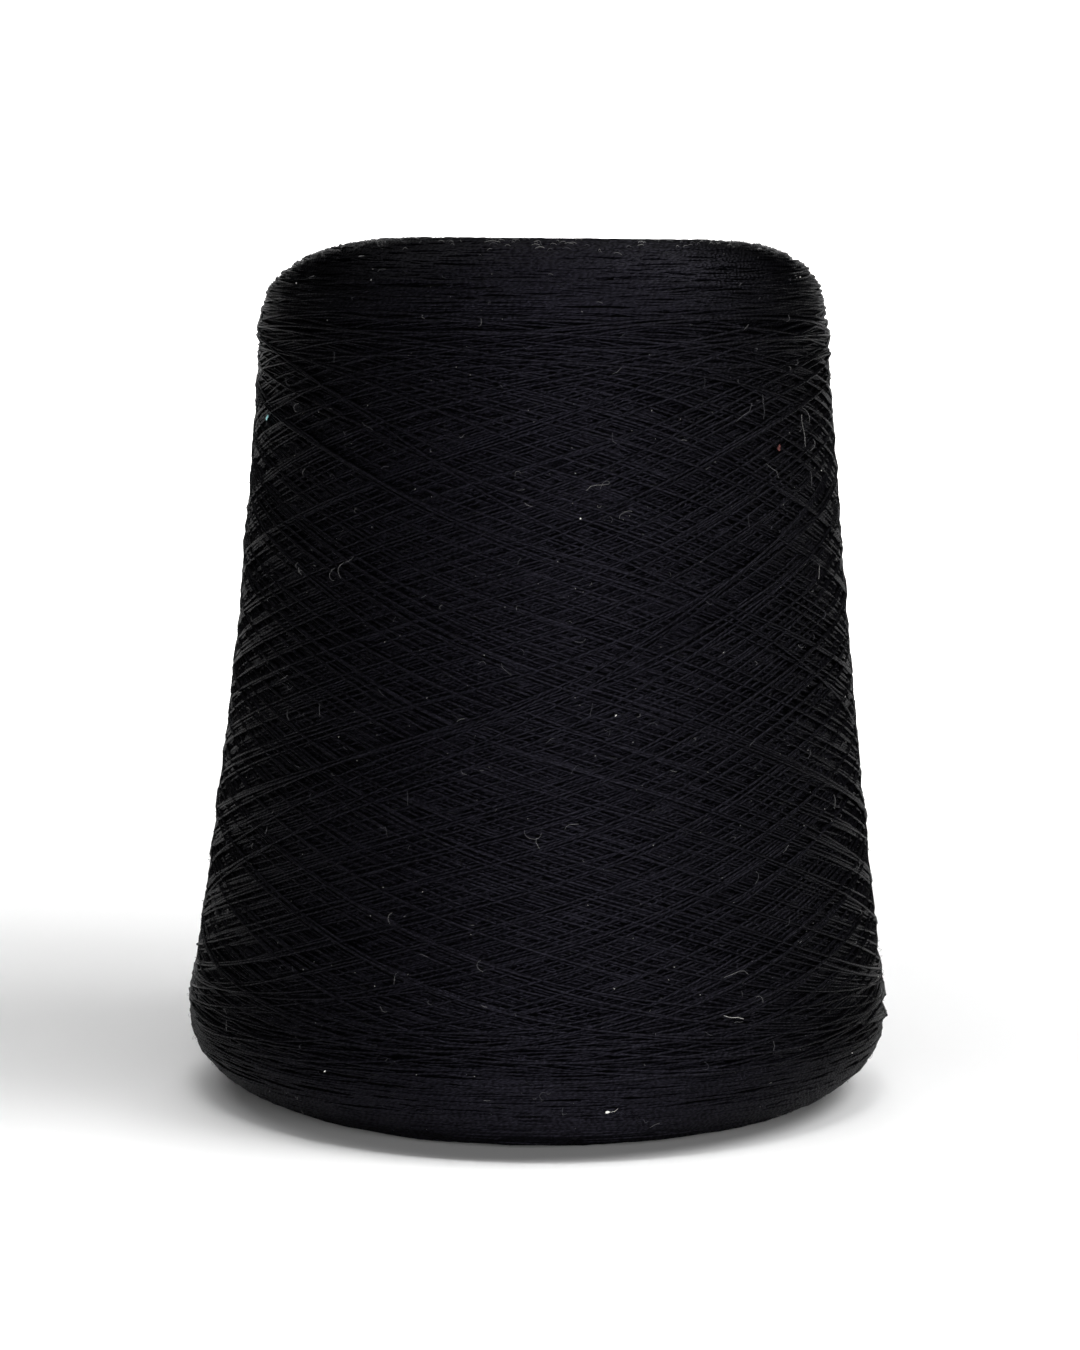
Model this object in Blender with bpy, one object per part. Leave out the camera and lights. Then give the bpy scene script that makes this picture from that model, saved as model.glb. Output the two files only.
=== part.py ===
"""Cone of yarn: one free-standing package of cross-wound yarn.

The yarn is wound in crossing helices, up and down, on a tube of the common
taper of 5 degrees 57 minutes, and the package stands on its wide end.  The
script makes it as one closed solid: a flat foot, a round lower shoulder, a
slightly hollow tapered side with the main crossing twists in low relief, an
uneven upper shoulder, and the tapered hole that the tube leaves.

Metres, +Z up.  -Y faces the photograph's camera and +X is its right.
"""

import math

import bpy

MM = 0.001

# Driving dimensions, in millimetres.
HEIGHT = 170.0                # the tube of a common 5 deg 57 min cone
FOOT_RADIUS = 50.5            # outer edge of the flat that it stands on
WIDEST_RADIUS = 70.6
WIDEST_HEIGHT = 15.8
NECK_RADIUS = 56.2            # where the upper shoulder starts
NECK_HEIGHT = 154.2

# The winding is a little lopsided: the photograph's left side is hollower and
# its upper shoulder rounder than the right one.
SIDE_HOLLOW = {"left": 2.0, "right": 0.9}    # dip below a straight side
TOP_EDGE_RADIUS = {"left": 25.0, "right": 33.0}
TOP_EDGE_ROUNDNESS = {"left": 2.2, "right": 2.5}    # superellipse exponent

# The hole is left by the tube, which tapers by this half angle.
BORE_HALF_ANGLE = math.radians(5.95)
BORE_TOP_RADIUS = 16.8

# Main twists: crossing helices, as many leaning one way as the other.
TWISTS_EACH_WAY = 14
TWIST_RELIEF = 0.55           # from a twist's crest down to the hollow between
TWIST_FADE = 16.0             # height over which the relief dies into a shoulder

# Mesh: a lattice whose diagonals are the twists.
COLUMNS_PER_TWIST = 3
COLUMNS = TWISTS_EACH_WAY * COLUMNS_PER_TWIST
SIDE_ROWS = 92
FOOT_ROWS = 8
TOP_ROWS = 10
BORE_ROWS = 4

BLACK_YARN = {"color": (0.012, 0.012, 0.016, 1.0), "roughness": 0.85, "metallic": 0.0}


def blend(sides, azimuth):
    """Mix a left and a right value round the cone; azimuth 0 is the right."""
    share = 0.5 + 0.5 * math.cos(azimuth)
    return sides["left"] + (sides["right"] - sides["left"]) * share


def side_radius(height, azimuth):
    """Radius of the tapered side, without its twists."""
    t = (height - WIDEST_HEIGHT) / (NECK_HEIGHT - WIDEST_HEIGHT)
    straight = WIDEST_RADIUS + (NECK_RADIUS - WIDEST_RADIUS) * t
    return straight - 4.0 * blend(SIDE_HOLLOW, azimuth) * t * (1.0 - t)


def bore_radius(height):
    return BORE_TOP_RADIUS + (HEIGHT - height) * math.tan(BORE_HALF_ANGLE)


def fade(height):
    """1 on the side, falling to 0 where it meets a shoulder."""
    rise = min((height - WIDEST_HEIGHT) / TWIST_FADE, (NECK_HEIGHT - height) / TWIST_FADE, 1.0)
    return 0.5 - 0.5 * math.cos(math.pi * max(rise, 0.0))


def twist_depth(row, column, height):
    """How far a lattice point lies below the crest of the main twists.

    Each row is half a column further round than the last, so a helix that
    leans right keeps its number `rising` and one that leans left `falling`.
    """
    rising = column - row // 2
    falling = column + (row + 1) // 2
    on_twist = rising % COLUMNS_PER_TWIST == 0 or falling % COLUMNS_PER_TWIST == 0
    return 0.0 if on_twist else TWIST_RELIEF * fade(height)


def ring(row, point):
    """One ring of the lattice; point(column, azimuth) gives radius and height."""
    vertices = []
    for column in range(COLUMNS):
        azimuth = 2.0 * math.pi * (column + 0.5 * (row % 2)) / COLUMNS
        radius, height = point(column, azimuth)
        vertices.append((radius * math.cos(azimuth) * MM, radius * math.sin(azimuth) * MM, height * MM))
    return vertices


def foot_points():
    """The lower shoulder, a quarter ellipse from the foot's edge to the side."""
    for i in range(FOOT_ROWS):
        turn = 0.5 * math.pi * i / FOOT_ROWS
        radius = FOOT_RADIUS + (WIDEST_RADIUS - FOOT_RADIUS) * math.sin(turn)
        height = WIDEST_HEIGHT * (1.0 - math.cos(turn))
        yield lambda column, azimuth, r=radius, z=height: (r, z)


def side_points(first_row):
    for i in range(SIDE_ROWS + 1):
        height = WIDEST_HEIGHT + (NECK_HEIGHT - WIDEST_HEIGHT) * i / SIDE_ROWS
        row = first_row + i
        yield lambda column, azimuth, z=height, j=row: (side_radius(z, azimuth) - twist_depth(j, column, z), z)


def shoulder_point(turn, azimuth):
    """The upper shoulder, a quarter superellipse from the neck to the top's edge."""
    edge = blend(TOP_EDGE_RADIUS, azimuth)
    power = 2.0 / blend(TOP_EDGE_ROUNDNESS, azimuth)
    radius = edge + (NECK_RADIUS - edge) * max(math.cos(turn), 0.0) ** power
    height = NECK_HEIGHT + (HEIGHT - NECK_HEIGHT) * math.sin(turn) ** power
    return radius, height


def top_points():
    for i in range(1, TOP_ROWS + 1):
        turn = 0.5 * math.pi * i / TOP_ROWS
        yield lambda column, azimuth, t=turn: shoulder_point(t, azimuth)


def bore_points():
    """Down the hole, from the top face to the foot."""
    for i in range(BORE_ROWS + 1):
        height = HEIGHT * (1.0 - i / BORE_ROWS)
        yield lambda column, azimuth, z=height: (bore_radius(z), z)


def band(lower, upper, row):
    """Triangles between two rings, the upper one half a column further round."""
    faces = []
    for i in range(COLUMNS):
        j = (i + 1) % COLUMNS
        if row % 2 == 0:
            faces.append((lower + i, lower + j, upper + i))
            faces.append((lower + j, upper + j, upper + i))
        else:
            faces.append((lower + i, upper + j, upper + i))
            faces.append((lower + i, lower + j, upper + j))
    return faces


def make_yarn_cone():
    """The wound yarn, as one closed ring-shaped solid."""
    points = list(foot_points())
    points += list(side_points(first_row=len(points)))
    points += list(top_points())
    points += list(bore_points())
    if len(points) % 2:
        raise ValueError("the lattice only closes on an even number of rings")

    vertices, faces = [], []
    for row, point in enumerate(points):
        vertices += ring(row, point)
        upper = (row + 1) % len(points)
        faces += band(row * COLUMNS, upper * COLUMNS, row)

    mesh = bpy.data.meshes.new("yarn_cone")
    mesh.from_pydata(vertices, [], faces)
    mesh.validate()
    obj = bpy.data.objects.new("yarn_cone", mesh)
    bpy.context.scene.collection.objects.link(obj)
    return obj


def make_material(name, color, roughness, metallic):
    material = bpy.data.materials.new(name)
    material.use_nodes = True
    shader = material.node_tree.nodes["Principled BSDF"]
    shader.inputs["Base Color"].default_value = color
    shader.inputs["Roughness"].default_value = roughness
    shader.inputs["Metallic"].default_value = metallic
    return material


def main():
    for obj in list(bpy.data.objects):
        bpy.data.objects.remove(obj, do_unlink=True)
    cone = make_yarn_cone()
    cone.data.materials.append(make_material("black_yarn", **BLACK_YARN))


if __name__ == "__main__":
    main()
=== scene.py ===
"""Cone of yarn: the looks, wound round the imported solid.

One length of fine black yarn is wound in crossing helices, up and down, in
the same order as a winder lays it: each new turn rests on what is already
there.  The script works out that pile, sweeps the yarn along its path with
Geometry Nodes, and adds the lint that the yarn has picked up.
"""

import math

import bpy
import numpy as np
from bpy.props import FloatProperty, FloatVectorProperty, IntProperty, PointerProperty
from mathutils import Matrix, Vector


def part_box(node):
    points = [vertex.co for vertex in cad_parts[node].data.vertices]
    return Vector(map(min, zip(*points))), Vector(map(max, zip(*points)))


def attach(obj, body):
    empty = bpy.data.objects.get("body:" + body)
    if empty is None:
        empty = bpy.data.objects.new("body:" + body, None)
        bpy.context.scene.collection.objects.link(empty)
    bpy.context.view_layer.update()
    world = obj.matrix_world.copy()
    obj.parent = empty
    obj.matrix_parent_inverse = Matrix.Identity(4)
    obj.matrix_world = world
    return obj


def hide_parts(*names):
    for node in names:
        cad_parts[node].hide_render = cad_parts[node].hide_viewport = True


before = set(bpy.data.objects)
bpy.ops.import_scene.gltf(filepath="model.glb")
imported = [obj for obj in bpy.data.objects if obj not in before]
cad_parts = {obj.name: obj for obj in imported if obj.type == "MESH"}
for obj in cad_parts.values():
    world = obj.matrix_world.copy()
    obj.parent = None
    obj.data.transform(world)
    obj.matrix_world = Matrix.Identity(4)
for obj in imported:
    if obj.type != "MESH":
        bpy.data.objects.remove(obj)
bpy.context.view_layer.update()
TOP_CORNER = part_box("yarn_cone")[1]

bl_info = {
    "name": "Cone of Yarn",
    "version": (1, 0, 0),
    "blender": (4, 5, 0),
    "location": "View3D > Sidebar > Yarn Cone",
    "description": "Winds a cone of black yarn, with its lint, on a pale floor",
    "category": "Add Mesh",
}

MM = 0.001
BODY = "root"
NODE = "yarn_cone"
GOLDEN = 0.5 * (math.sqrt(5.0) - 1.0)
COLOUR_A, COLOUR_B, COLOUR_RESULT = 6, 7, 2     # sockets of a Mix node set to colour


# --------------------------------------------------------------------------
# Sizes and colours that a user would change
# --------------------------------------------------------------------------

def length(name, description, default):
    return FloatProperty(name=name, description=description, default=default,
                         unit="LENGTH", min=0.0, precision=5)


def angle(name, description, degrees):
    return FloatProperty(name=name, description=description, default=math.radians(degrees), subtype="ANGLE")


def plain(name, description, default):
    return FloatProperty(name=name, description=description, default=default)


def count(name, description, default):
    return IntProperty(name=name, description=description, default=default, min=0)


def colour(name, description, hex_value):
    return FloatVectorProperty(name=name, description=description, default=linear(hex_value),
                               subtype="COLOR", size=3, min=0.0, max=1.0)


def linear(hex_value):
    """An sRGB hex colour as linear red, green and blue."""
    channels = [int(hex_value[i:i + 2], 16) / 255.0 for i in (1, 3, 5)]
    return tuple(c / 12.92 if c <= 0.04045 else ((c + 0.055) / 1.055) ** 2.4 for c in channels)


class YarnConeForm(bpy.types.PropertyGroup):
    """The outline of the wound package."""

    height: length("Height", "From the table to the top face", TOP_CORNER[2])
    foot_radius: length("Foot radius", "Outer edge of the flat that it stands on", 50.5 * MM)
    widest_radius: length("Widest radius", "Radius where the lower shoulder ends", 70.6 * MM)
    widest_height: length("Widest height", "Height where the lower shoulder ends", 15.8 * MM)
    neck_radius: length("Neck radius", "Radius where the upper shoulder starts", 56.2 * MM)
    neck_height: length("Neck height", "Height where the upper shoulder starts", 154.2 * MM)
    hollow_left: length("Hollow, left", "Dip of the left side below a straight line", 2.0 * MM)
    hollow_right: length("Hollow, right", "Dip of the right side below a straight line", 0.9 * MM)
    edge_left: length("Top edge, left", "Radius where the left shoulder meets the top face", 25.0 * MM)
    edge_right: length("Top edge, right", "Radius where the right shoulder meets the top face", 33.0 * MM)
    round_left: plain("Roundness, left", "Superellipse exponent of the left shoulder", 2.2)
    round_right: plain("Roundness, right", "Superellipse exponent of the right shoulder", 2.5)
    bore_radius: length("Hole radius", "Radius of the hole at the top", 16.8 * MM)
    bore_angle: angle("Hole half angle", "Taper of the winding tube that leaves the hole", 5.95)


class YarnConeYarn(bpy.types.PropertyGroup):
    """The yarn and the way it is wound."""

    thickness: length("Yarn thickness", "Diameter of the yarn", 0.60 * MM)
    pressed: length("Pressed thickness", "What one turn adds to the pile where it crosses others", 0.25 * MM)
    sides: count("Sides", "Sides of the swept yarn", 4)
    deepest: length("Deepest turns", "Depth that no turn of the pressed pile goes under", 1.3 * MM)
    shoulder_relief: plain("Shoulder relief", "Share of the side's relief that the shoulders have", 0.5)
    weave: length("Weave, top", "How far the upper shoulder's turns rise and sink", 0.45 * MM)
    low_weave: length("Weave, bottom", "How far the lower shoulder's turns rise and sink", 0.20 * MM)
    uneven_top: length("Uneven top", "How much the turns of the top face differ in height", 0.35 * MM)
    seen_depth: plain("Seen depth", "Pressed thicknesses that may cover a turn which is still swept", 2.5)
    pitch: length("Pitch", "Distance between neighbouring turns", 0.66 * MM)
    arcs_a_pitch: plain("Arcs a pitch", "Turn-rounds laid for each pitch of a shoulder", 9.0)
    strokes: count("Strokes", "Passes up or down the side", 1700)
    stroke_pair_turns: plain("Turns a pair", "Turns round the package in one pass up and down", 2.391490)
    drift: length("Drift", "How far the turns of one layer swing up and down together", 0.8 * MM)
    last_strokes: count("Last strokes", "Steeper passes that lie loose over all the others", 14)
    slip: plain("Slip", "Random change of the turns from one pass to the next", 0.00012)
    steps_a_turn: count("Steps a turn", "Straight steps in one turn of swept yarn", 60)
    bore_strands: count("Hole strands", "Turns that cross on the wall of the hole", 36)
    seed: count("Seed", "Seed of the winding's small irregularities", 11)
    dark: colour("Dark yarn", "Colour of the darkest turns", "#010101")
    pale: colour("Pale yarn", "Colour of the palest turns", "#020203")


class YarnConeLint(bpy.types.PropertyGroup):
    """Lint and loose fibre ends on the winding."""

    fibres: count("Fibres", "Scattered pale lint fibres all round", 520)
    specks: count("Specks", "Scattered pale specks all round", 700)
    # Fibres along the top edge: partly lint, partly a painted highlight of the edge's bright fringe.
    rim_fibres_and_highlight: count("Rim fibres", "Pale fibres caught along the edge of the top face", 260)
    fuzz: count("Fuzz", "Black fibre ends that stand out of the yarn", 1500)
    thickness: length("Fibre thickness", "Diameter of a lint fibre, coarser than real to show", 0.08 * MM)
    fuzz_thickness: length("Fuzz thickness", "Diameter of a black fibre end", 0.05 * MM)
    seed: count("Seed", "Seed of the scattered lint", 5)
    pale: colour("Pale lint", "Colour of the whitest lint", "#f2f0ea")
    dull: colour("Dull lint", "Colour of the faintest lint", "#3a3a40")


class YarnConeStage(bpy.types.PropertyGroup):
    """Floor, lights and camera."""

    distance: length("Camera distance", "From the winding's axis", 0.700)
    camera_height: length("Camera height", "Above the table", 0.1705)
    pitch: angle("Camera pitch", "How far the camera looks down", 7.145)
    roll: angle("Camera roll", "How far the picture is turned clockwise", 0.55)
    lens_px: plain("Lens", "Focal length in pixels of the 1080 by 1350 picture", 3502.0)
    floor: colour("Floor", "Colour of the floor and backdrop", "#f7f7f7")
    side: plain("Side light", "Power of the high soft box at the right, in watts", 6.8)
    front: plain("Front light", "Power of the wide soft box beside the camera, in watts", 6.3)
    top: plain("Top light", "Power of the wide soft box overhead, in watts", 32.5)
    back: plain("Backdrop light", "Power of the light on the backdrop, in watts", 52.0)
    fore: plain("Floor light", "Power of the narrow light on the floor in front, in watts", 6.5)
    sky: plain("Sky", "How bright the sky is where the camera sees it", 1.0)


# --------------------------------------------------------------------------
# Form of the package
# --------------------------------------------------------------------------

ZONES = 5    # foot flat, lower shoulder, side, upper shoulder, top face


def blend(left, right, azimuth):
    """Mix a left and a right value round the cone; azimuth 0 is the right."""
    return left + (right - left) * (0.5 + 0.5 * np.cos(azimuth))


def bore_radius_at(form, height):
    """Radius of the tapered hole at a height."""
    return form.bore_radius + (form.height - height) * math.tan(form.bore_angle)


def round_axis(radius, azimuth, height):
    """Points at a radius and azimuth round the cone's axis."""
    return np.stack([radius * np.cos(azimuth), radius * np.sin(azimuth), height + 0.0 * azimuth], -1)


def outline(form, station, azimuth):
    """Radius and height at a station, which runs from 0 to 5 over the zones."""
    station, azimuth = np.broadcast_arrays(station, azimuth)
    zone = np.clip(station.astype(int), 0, ZONES - 1)
    t = np.clip(station - zone, 0.0, 1.0)
    turn = 0.5 * np.pi * t
    foot_bore = bore_radius_at(form, 0.0)
    edge = blend(form.edge_left, form.edge_right, azimuth)
    power = 2.0 / blend(form.round_left, form.round_right, azimuth)
    hollow = blend(form.hollow_left, form.hollow_right, azimuth)
    across, up = np.maximum(np.cos(turn), 0.0) ** power, np.sin(turn) ** power
    radius = np.select(
        [zone == 0, zone == 1, zone == 2, zone == 3],
        [foot_bore + (form.foot_radius - foot_bore) * t,
         form.foot_radius + (form.widest_radius - form.foot_radius) * np.sin(turn),
         form.widest_radius + (form.neck_radius - form.widest_radius) * t - 4.0 * hollow * t * (1.0 - t),
         edge + (form.neck_radius - edge) * across],
        edge + (form.bore_radius - edge) * t)
    height = np.select(
        [zone == 0, zone == 1, zone == 2, zone == 3],
        [0.0 * t,
         form.widest_height * (1.0 - np.cos(turn)),
         form.widest_height + (form.neck_height - form.widest_height) * t,
         form.neck_height + (form.height - form.neck_height) * up],
        form.height)
    return radius, height


class Skin:
    """The package's surface, measured by azimuth and by reach: the distance
    along the outline from the hole's lower edge to its upper edge."""

    STEPS_A_ZONE = 120
    NEAR = 0.02     # half the span of stations over which the slope is taken

    def __init__(self, form):
        self.form = form
        self.stations = np.linspace(0.0, ZONES, self.STEPS_A_ZONE * ZONES + 1)
        radius, height = outline(form, self.stations, 0.5 * np.pi)
        steps = np.hypot(np.diff(radius), np.diff(height))
        self.reaches = np.concatenate([[0.0], np.cumsum(steps)])
        self.length = self.reaches[-1]

    def reach_at_height(self, height):
        """Reach of a height on the side, which starts at station 2."""
        side = (height - self.form.widest_height) / (self.form.neck_height - self.form.widest_height)
        return float(np.interp(2.0 + side, self.stations, self.reaches))

    def reach_outside(self, azimuth, height):
        """Reach of a height on either shoulder or the side: stations 1 to 4."""
        _, heights = outline(self.form, self.stations, azimuth)
        outside = (self.stations >= 1.0) & (self.stations <= 4.0)
        return float(np.interp(height, heights[outside], self.reaches[outside]))

    def point(self, reach, azimuth, depth=0.0):
        """Points at a depth under the surface, and the outward direction there."""
        station = np.interp(reach, self.reaches, self.stations)
        r0, z0 = outline(self.form, np.clip(station - self.NEAR, 0.0, ZONES), azimuth)
        r1, z1 = outline(self.form, np.clip(station + self.NEAR, 0.0, ZONES), azimuth)
        radius, height = outline(self.form, station, azimuth)
        size = np.maximum(np.hypot(r1 - r0, z1 - z0), 1e-12)
        outward = round_axis((z1 - z0) / size, azimuth, (r0 - r1) / size)
        place = round_axis(radius, azimuth, height)
        return place - outward * np.asarray(depth)[..., None], outward


# --------------------------------------------------------------------------
# Winding
# --------------------------------------------------------------------------

class Pile:
    """How high the yarn lies over the bare form, as each turn is laid on it."""

    COLUMNS = 1024      # steps round the cone
    ROW = 0.25 * MM     # reach of one row
    COARSE = 4          # columns to one step of the taut yarn
    PASSES = 24         # rounds of pulling it taut
    PULL = 3.0          # how much more than a stiff crest would allow a span sinks
    EVEN = 9            # steps to each side over which the pile under it is evened
    GIVE = 0.25         # share of a crest's height that is pressed flat
    BESIDE = 0.6        # share of a turn's pressed thickness that the rows beside it get
    DUCK = 4.0          # yarn thicknesses by which the ends of an arc go under the rest
    DUCK_COLUMNS = 40   # columns over which they do so

    def __init__(self, skin, yarn):
        self.skin, self.yarn = skin, yarn
        self.rows = int(skin.length / self.ROW) + 3
        self.height = np.zeros((self.rows, self.COLUMNS), np.float32)
        self.strands = []

    def cells(self, first_column, reach):
        """Rows and columns under a strand, away from the first and last row."""
        rows = np.clip((reach / self.ROW).astype(int), 1, self.rows - 2)
        return rows, (first_column + np.arange(len(reach))) % self.COLUMNS

    def lay(self, first_column, reach, duck=False):
        """Lay yarn over one column after another at the given reaches."""
        rows, columns = self.cells(first_column, reach)
        lift = self.taut(self.height[rows, columns])
        for beside, share in ((0, 1.0), (-1, self.BESIDE), (1, self.BESIDE)):
            here = rows + beside, columns
            self.height[here] = np.maximum(self.height[here], lift + share * self.yarn.pressed)
        relief = 1.0
        if duck:
            relief = self.yarn.shoulder_relief
            step = np.arange(len(reach))
            ducked = np.clip(1.0 - np.minimum(step, step[::-1]) / self.DUCK_COLUMNS, 0.0, 1.0) ** 2
            lift = lift - self.DUCK * self.yarn.thickness * ducked
        self.strands.append((first_column, reach, lift, relief))

    def taut(self, under):
        """The yarn spans from crest to crest; a free span pulls inwards, and
        a crest that stands high gives way under it."""
        steps = -(-len(under) // self.COARSE)
        spare = steps * self.COARSE - len(under)
        padded = np.pad(under, (0, spare), mode="edge").reshape(steps, self.COARSE)
        crest = padded.max(1)
        radius = 0.5 * (self.skin.form.widest_radius + self.skin.form.neck_radius)
        step = 2.0 * np.pi * radius * self.COARSE / self.COLUMNS
        sag = self.PULL * step * step / (2.0 * radius)
        lift = crest.copy()
        for _ in range(self.PASSES):
            lift[1:-1] = np.maximum(crest[1:-1], 0.5 * (lift[:-2] + lift[2:]) - sag)
        window = np.ones(2 * self.EVEN + 1) / (2 * self.EVEN + 1)
        even = np.convolve(np.pad(padded.mean(1), self.EVEN, mode="edge"), window, mode="valid")
        lift = np.where(lift > even, even + (1.0 - self.GIVE) * (lift - even), lift)
        middle = (np.arange(steps) + 0.5) * self.COARSE
        return np.interp(np.arange(len(under)) + 0.5, middle, lift)

    def crest(self, up=5.0 * MM, level=12.0 * MM, radius=63.0 * MM):
        """The pile's height without its crossings, evened over two distances:
        a smooth map of rows and columns, on which the outermost turns lie."""
        over = 1.2 * self.yarn.pressed      # from the evened pile to its outermost turns
        rows, columns = int(up / self.ROW), int(level / (2.0 * np.pi * radius) * self.COLUMNS)
        top = np.pad(self.height, ((rows, rows), (0, 0)), mode="edge")
        top = smoothed(top, rows)[rows:-rows]
        return smoothed(np.tile(top.T, (3, 1)), columns)[self.COLUMNS:-self.COLUMNS].T + over


def smoothed(values, half):
    """Hann-weighted running mean down the columns of an array."""
    window = np.hanning(2 * half + 3)[1:-1]
    window /= window.sum()
    spectrum = np.fft.rfft(values, axis=0)
    kernel = np.zeros(len(values))
    kernel[:half + 1], kernel[-half:] = window[half:], window[:half]
    return np.fft.irfft(spectrum * np.fft.rfft(kernel)[:, None], n=len(values), axis=0)


def eased(t, start, end):
    """0 to 1 at a steady pace, with a parabolic turn-round at each end, over
    the given shares of the way."""
    pace = 1.0 / (1.0 - 0.5 * (start + end))
    leaving = pace * t * t / (2.0 * start)
    stopping = 1.0 - pace * (1.0 - t) ** 2 / (2.0 * end)
    return np.where(t < start, leaving, np.where(t > 1.0 - end, stopping, pace * (t - 0.5 * start)))


def wind_shoulder(pile, rng, first, last):
    """The turn-rounds of the inner layers, which show on a shoulder.

    Each layer turned round a little short of the one beneath it, so the
    shoulder is scaled with shallow arcs, their legs under the next ones.
    """
    yarn = pile.yarn
    stray, ripple, ripple_waves = 0.5 * MM, 0.15 * MM, 7.0
    half_turns, falls, bends = (0.15, 0.30), (3.0, 7.5), (1.7, 2.3)     # rounds, mm and exponent
    way = 1.0 if last > first else -1.0
    arcs = int(abs(last - first) / yarn.pitch * yarn.arcs_a_pitch)
    for arc in range(arcs):
        apex = first + way * (abs(last - first) * (arc + 0.5) / arcs + rng.normal(0.0, stray))
        half_turn, fall = rng.uniform(*half_turns), rng.uniform(*falls) * MM
        side = int(half_turn * pile.COLUMNS)
        t = np.arange(-side, side + 1) / side
        reach = apex + way * fall * np.abs(t) ** rng.uniform(*bends)
        reach = reach + way * ripple * np.sin(ripple_waves * t + rng.uniform(0.0, 6.28))
        reach = np.clip(reach, yarn.thickness, pile.skin.length - yarn.thickness)
        azimuth = arc * GOLDEN + rng.uniform(0.0, 0.1)
        pile.lay(int(azimuth * pile.COLUMNS) % pile.COLUMNS, reach, duck=True)


LOW_END, HIGH_END = 20.0 * MM, 151.5 * MM     # heights where most strokes turn round
END_SCATTER = (-7.0, 1.0, 6.0)                # mm past the end: least, most often, most
LOOSE_TURNS = (0.70, 0.95)                    # share of a stroke's turns in a loose last one
SLIP_KEPT = 0.97                              # share of a stroke's slip that the next one has too


def wind_side(pile, rng):
    """The crossing strokes, up and down, one after another."""
    yarn, skin = pile.yarn, pile.skin
    low, high = skin.reach_at_height(LOW_END), skin.reach_at_height(HIGH_END)
    turns = rng.uniform()
    slip, stop = 0.0, None
    for stroke in range(yarn.strokes + 1):
        edge, way = (low, 1.0) if stroke % 2 == 0 else (high, -1.0)
        here = turns, edge + way * rng.triangular(*END_SCATTER) * MM
        if stop:
            lay_stroke(pile, rng, stroke, *stop, *here)
        stop = here
        slip = SLIP_KEPT * slip + rng.normal(0.0, yarn.slip)
        loose = stroke > yarn.strokes - yarn.last_strokes
        turns += 0.5 * (yarn.stroke_pair_turns * (rng.uniform(*LOOSE_TURNS) if loose else 1.0) + slip)


# Slow swings that neighbouring turns share: times round the cone, share of
# the drift, and strokes until the swing repeats.
SWINGS = ((2, 1.0, 700.0), (3, 0.8, 1100.0), (5, 0.7, 900.0))
LOW_EASE, HIGH_EASE = (0.14, 0.22), (0.20, 0.32)     # the upper turn-round is the slower
WANDER = 0.25 * MM                                   # of one stroke from its path


def lay_stroke(pile, rng, stroke, turns_a, reach_a, turns_b, reach_b):
    """One pass from end to end, with its wander and its share of the swings."""
    first, last = round(turns_a * pile.COLUMNS), round(turns_b * pile.COLUMNS)
    t = np.arange(last - first + 1) / (last - first)
    upward = reach_b > reach_a
    eases = rng.uniform(*LOW_EASE), rng.uniform(*HIGH_EASE)
    reach = reach_a + (reach_b - reach_a) * eased(t, *(eases if upward else eases[::-1]))
    wander = rng.normal(0.0, WANDER) * np.sin(2.0 * np.pi * (t * rng.uniform(1.0, 2.5) + rng.uniform()))
    turns = (first + np.arange(last - first + 1)) / pile.COLUMNS
    sign = 1.0 if upward else -1.0
    for times, share, repeat in SWINGS:
        swing = np.sin(2.0 * np.pi * (times * turns + sign * stroke / repeat))
        wander = wander + pile.yarn.drift * share * swing
    pile.lay(first, reach + wander * np.sin(np.pi * t))


def wind(form, yarn):
    """The whole pile, inner turns first."""
    skin = Skin(form)
    pile = Pile(skin, yarn)
    rng = np.random.default_rng(yarn.seed)
    overlap = 4.0 * MM      # of a shoulder's arcs with the side's strokes
    low, high = form.widest_height + overlap, form.neck_height - overlap
    wind_shoulder(pile, rng, yarn.thickness, skin.reach_at_height(low))
    wind_shoulder(pile, rng, skin.length - yarn.thickness, skin.reach_at_height(high))
    wind_side(pile, rng)
    return pile


# --------------------------------------------------------------------------
# Geometry Nodes and meshes
# --------------------------------------------------------------------------

def add_node(tree, kind, links=(), values=None, **settings):
    """Add a node; links feed its inputs from other sockets, values are constants."""
    node = tree.nodes.new(kind)
    for key, value in settings.items():
        setattr(node, key, value)
    for key, value in (values or {}).items():
        node.inputs[key].default_value = value
    for key, socket in dict(links).items():
        tree.links.new(socket, node.inputs[key])
    return node


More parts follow.
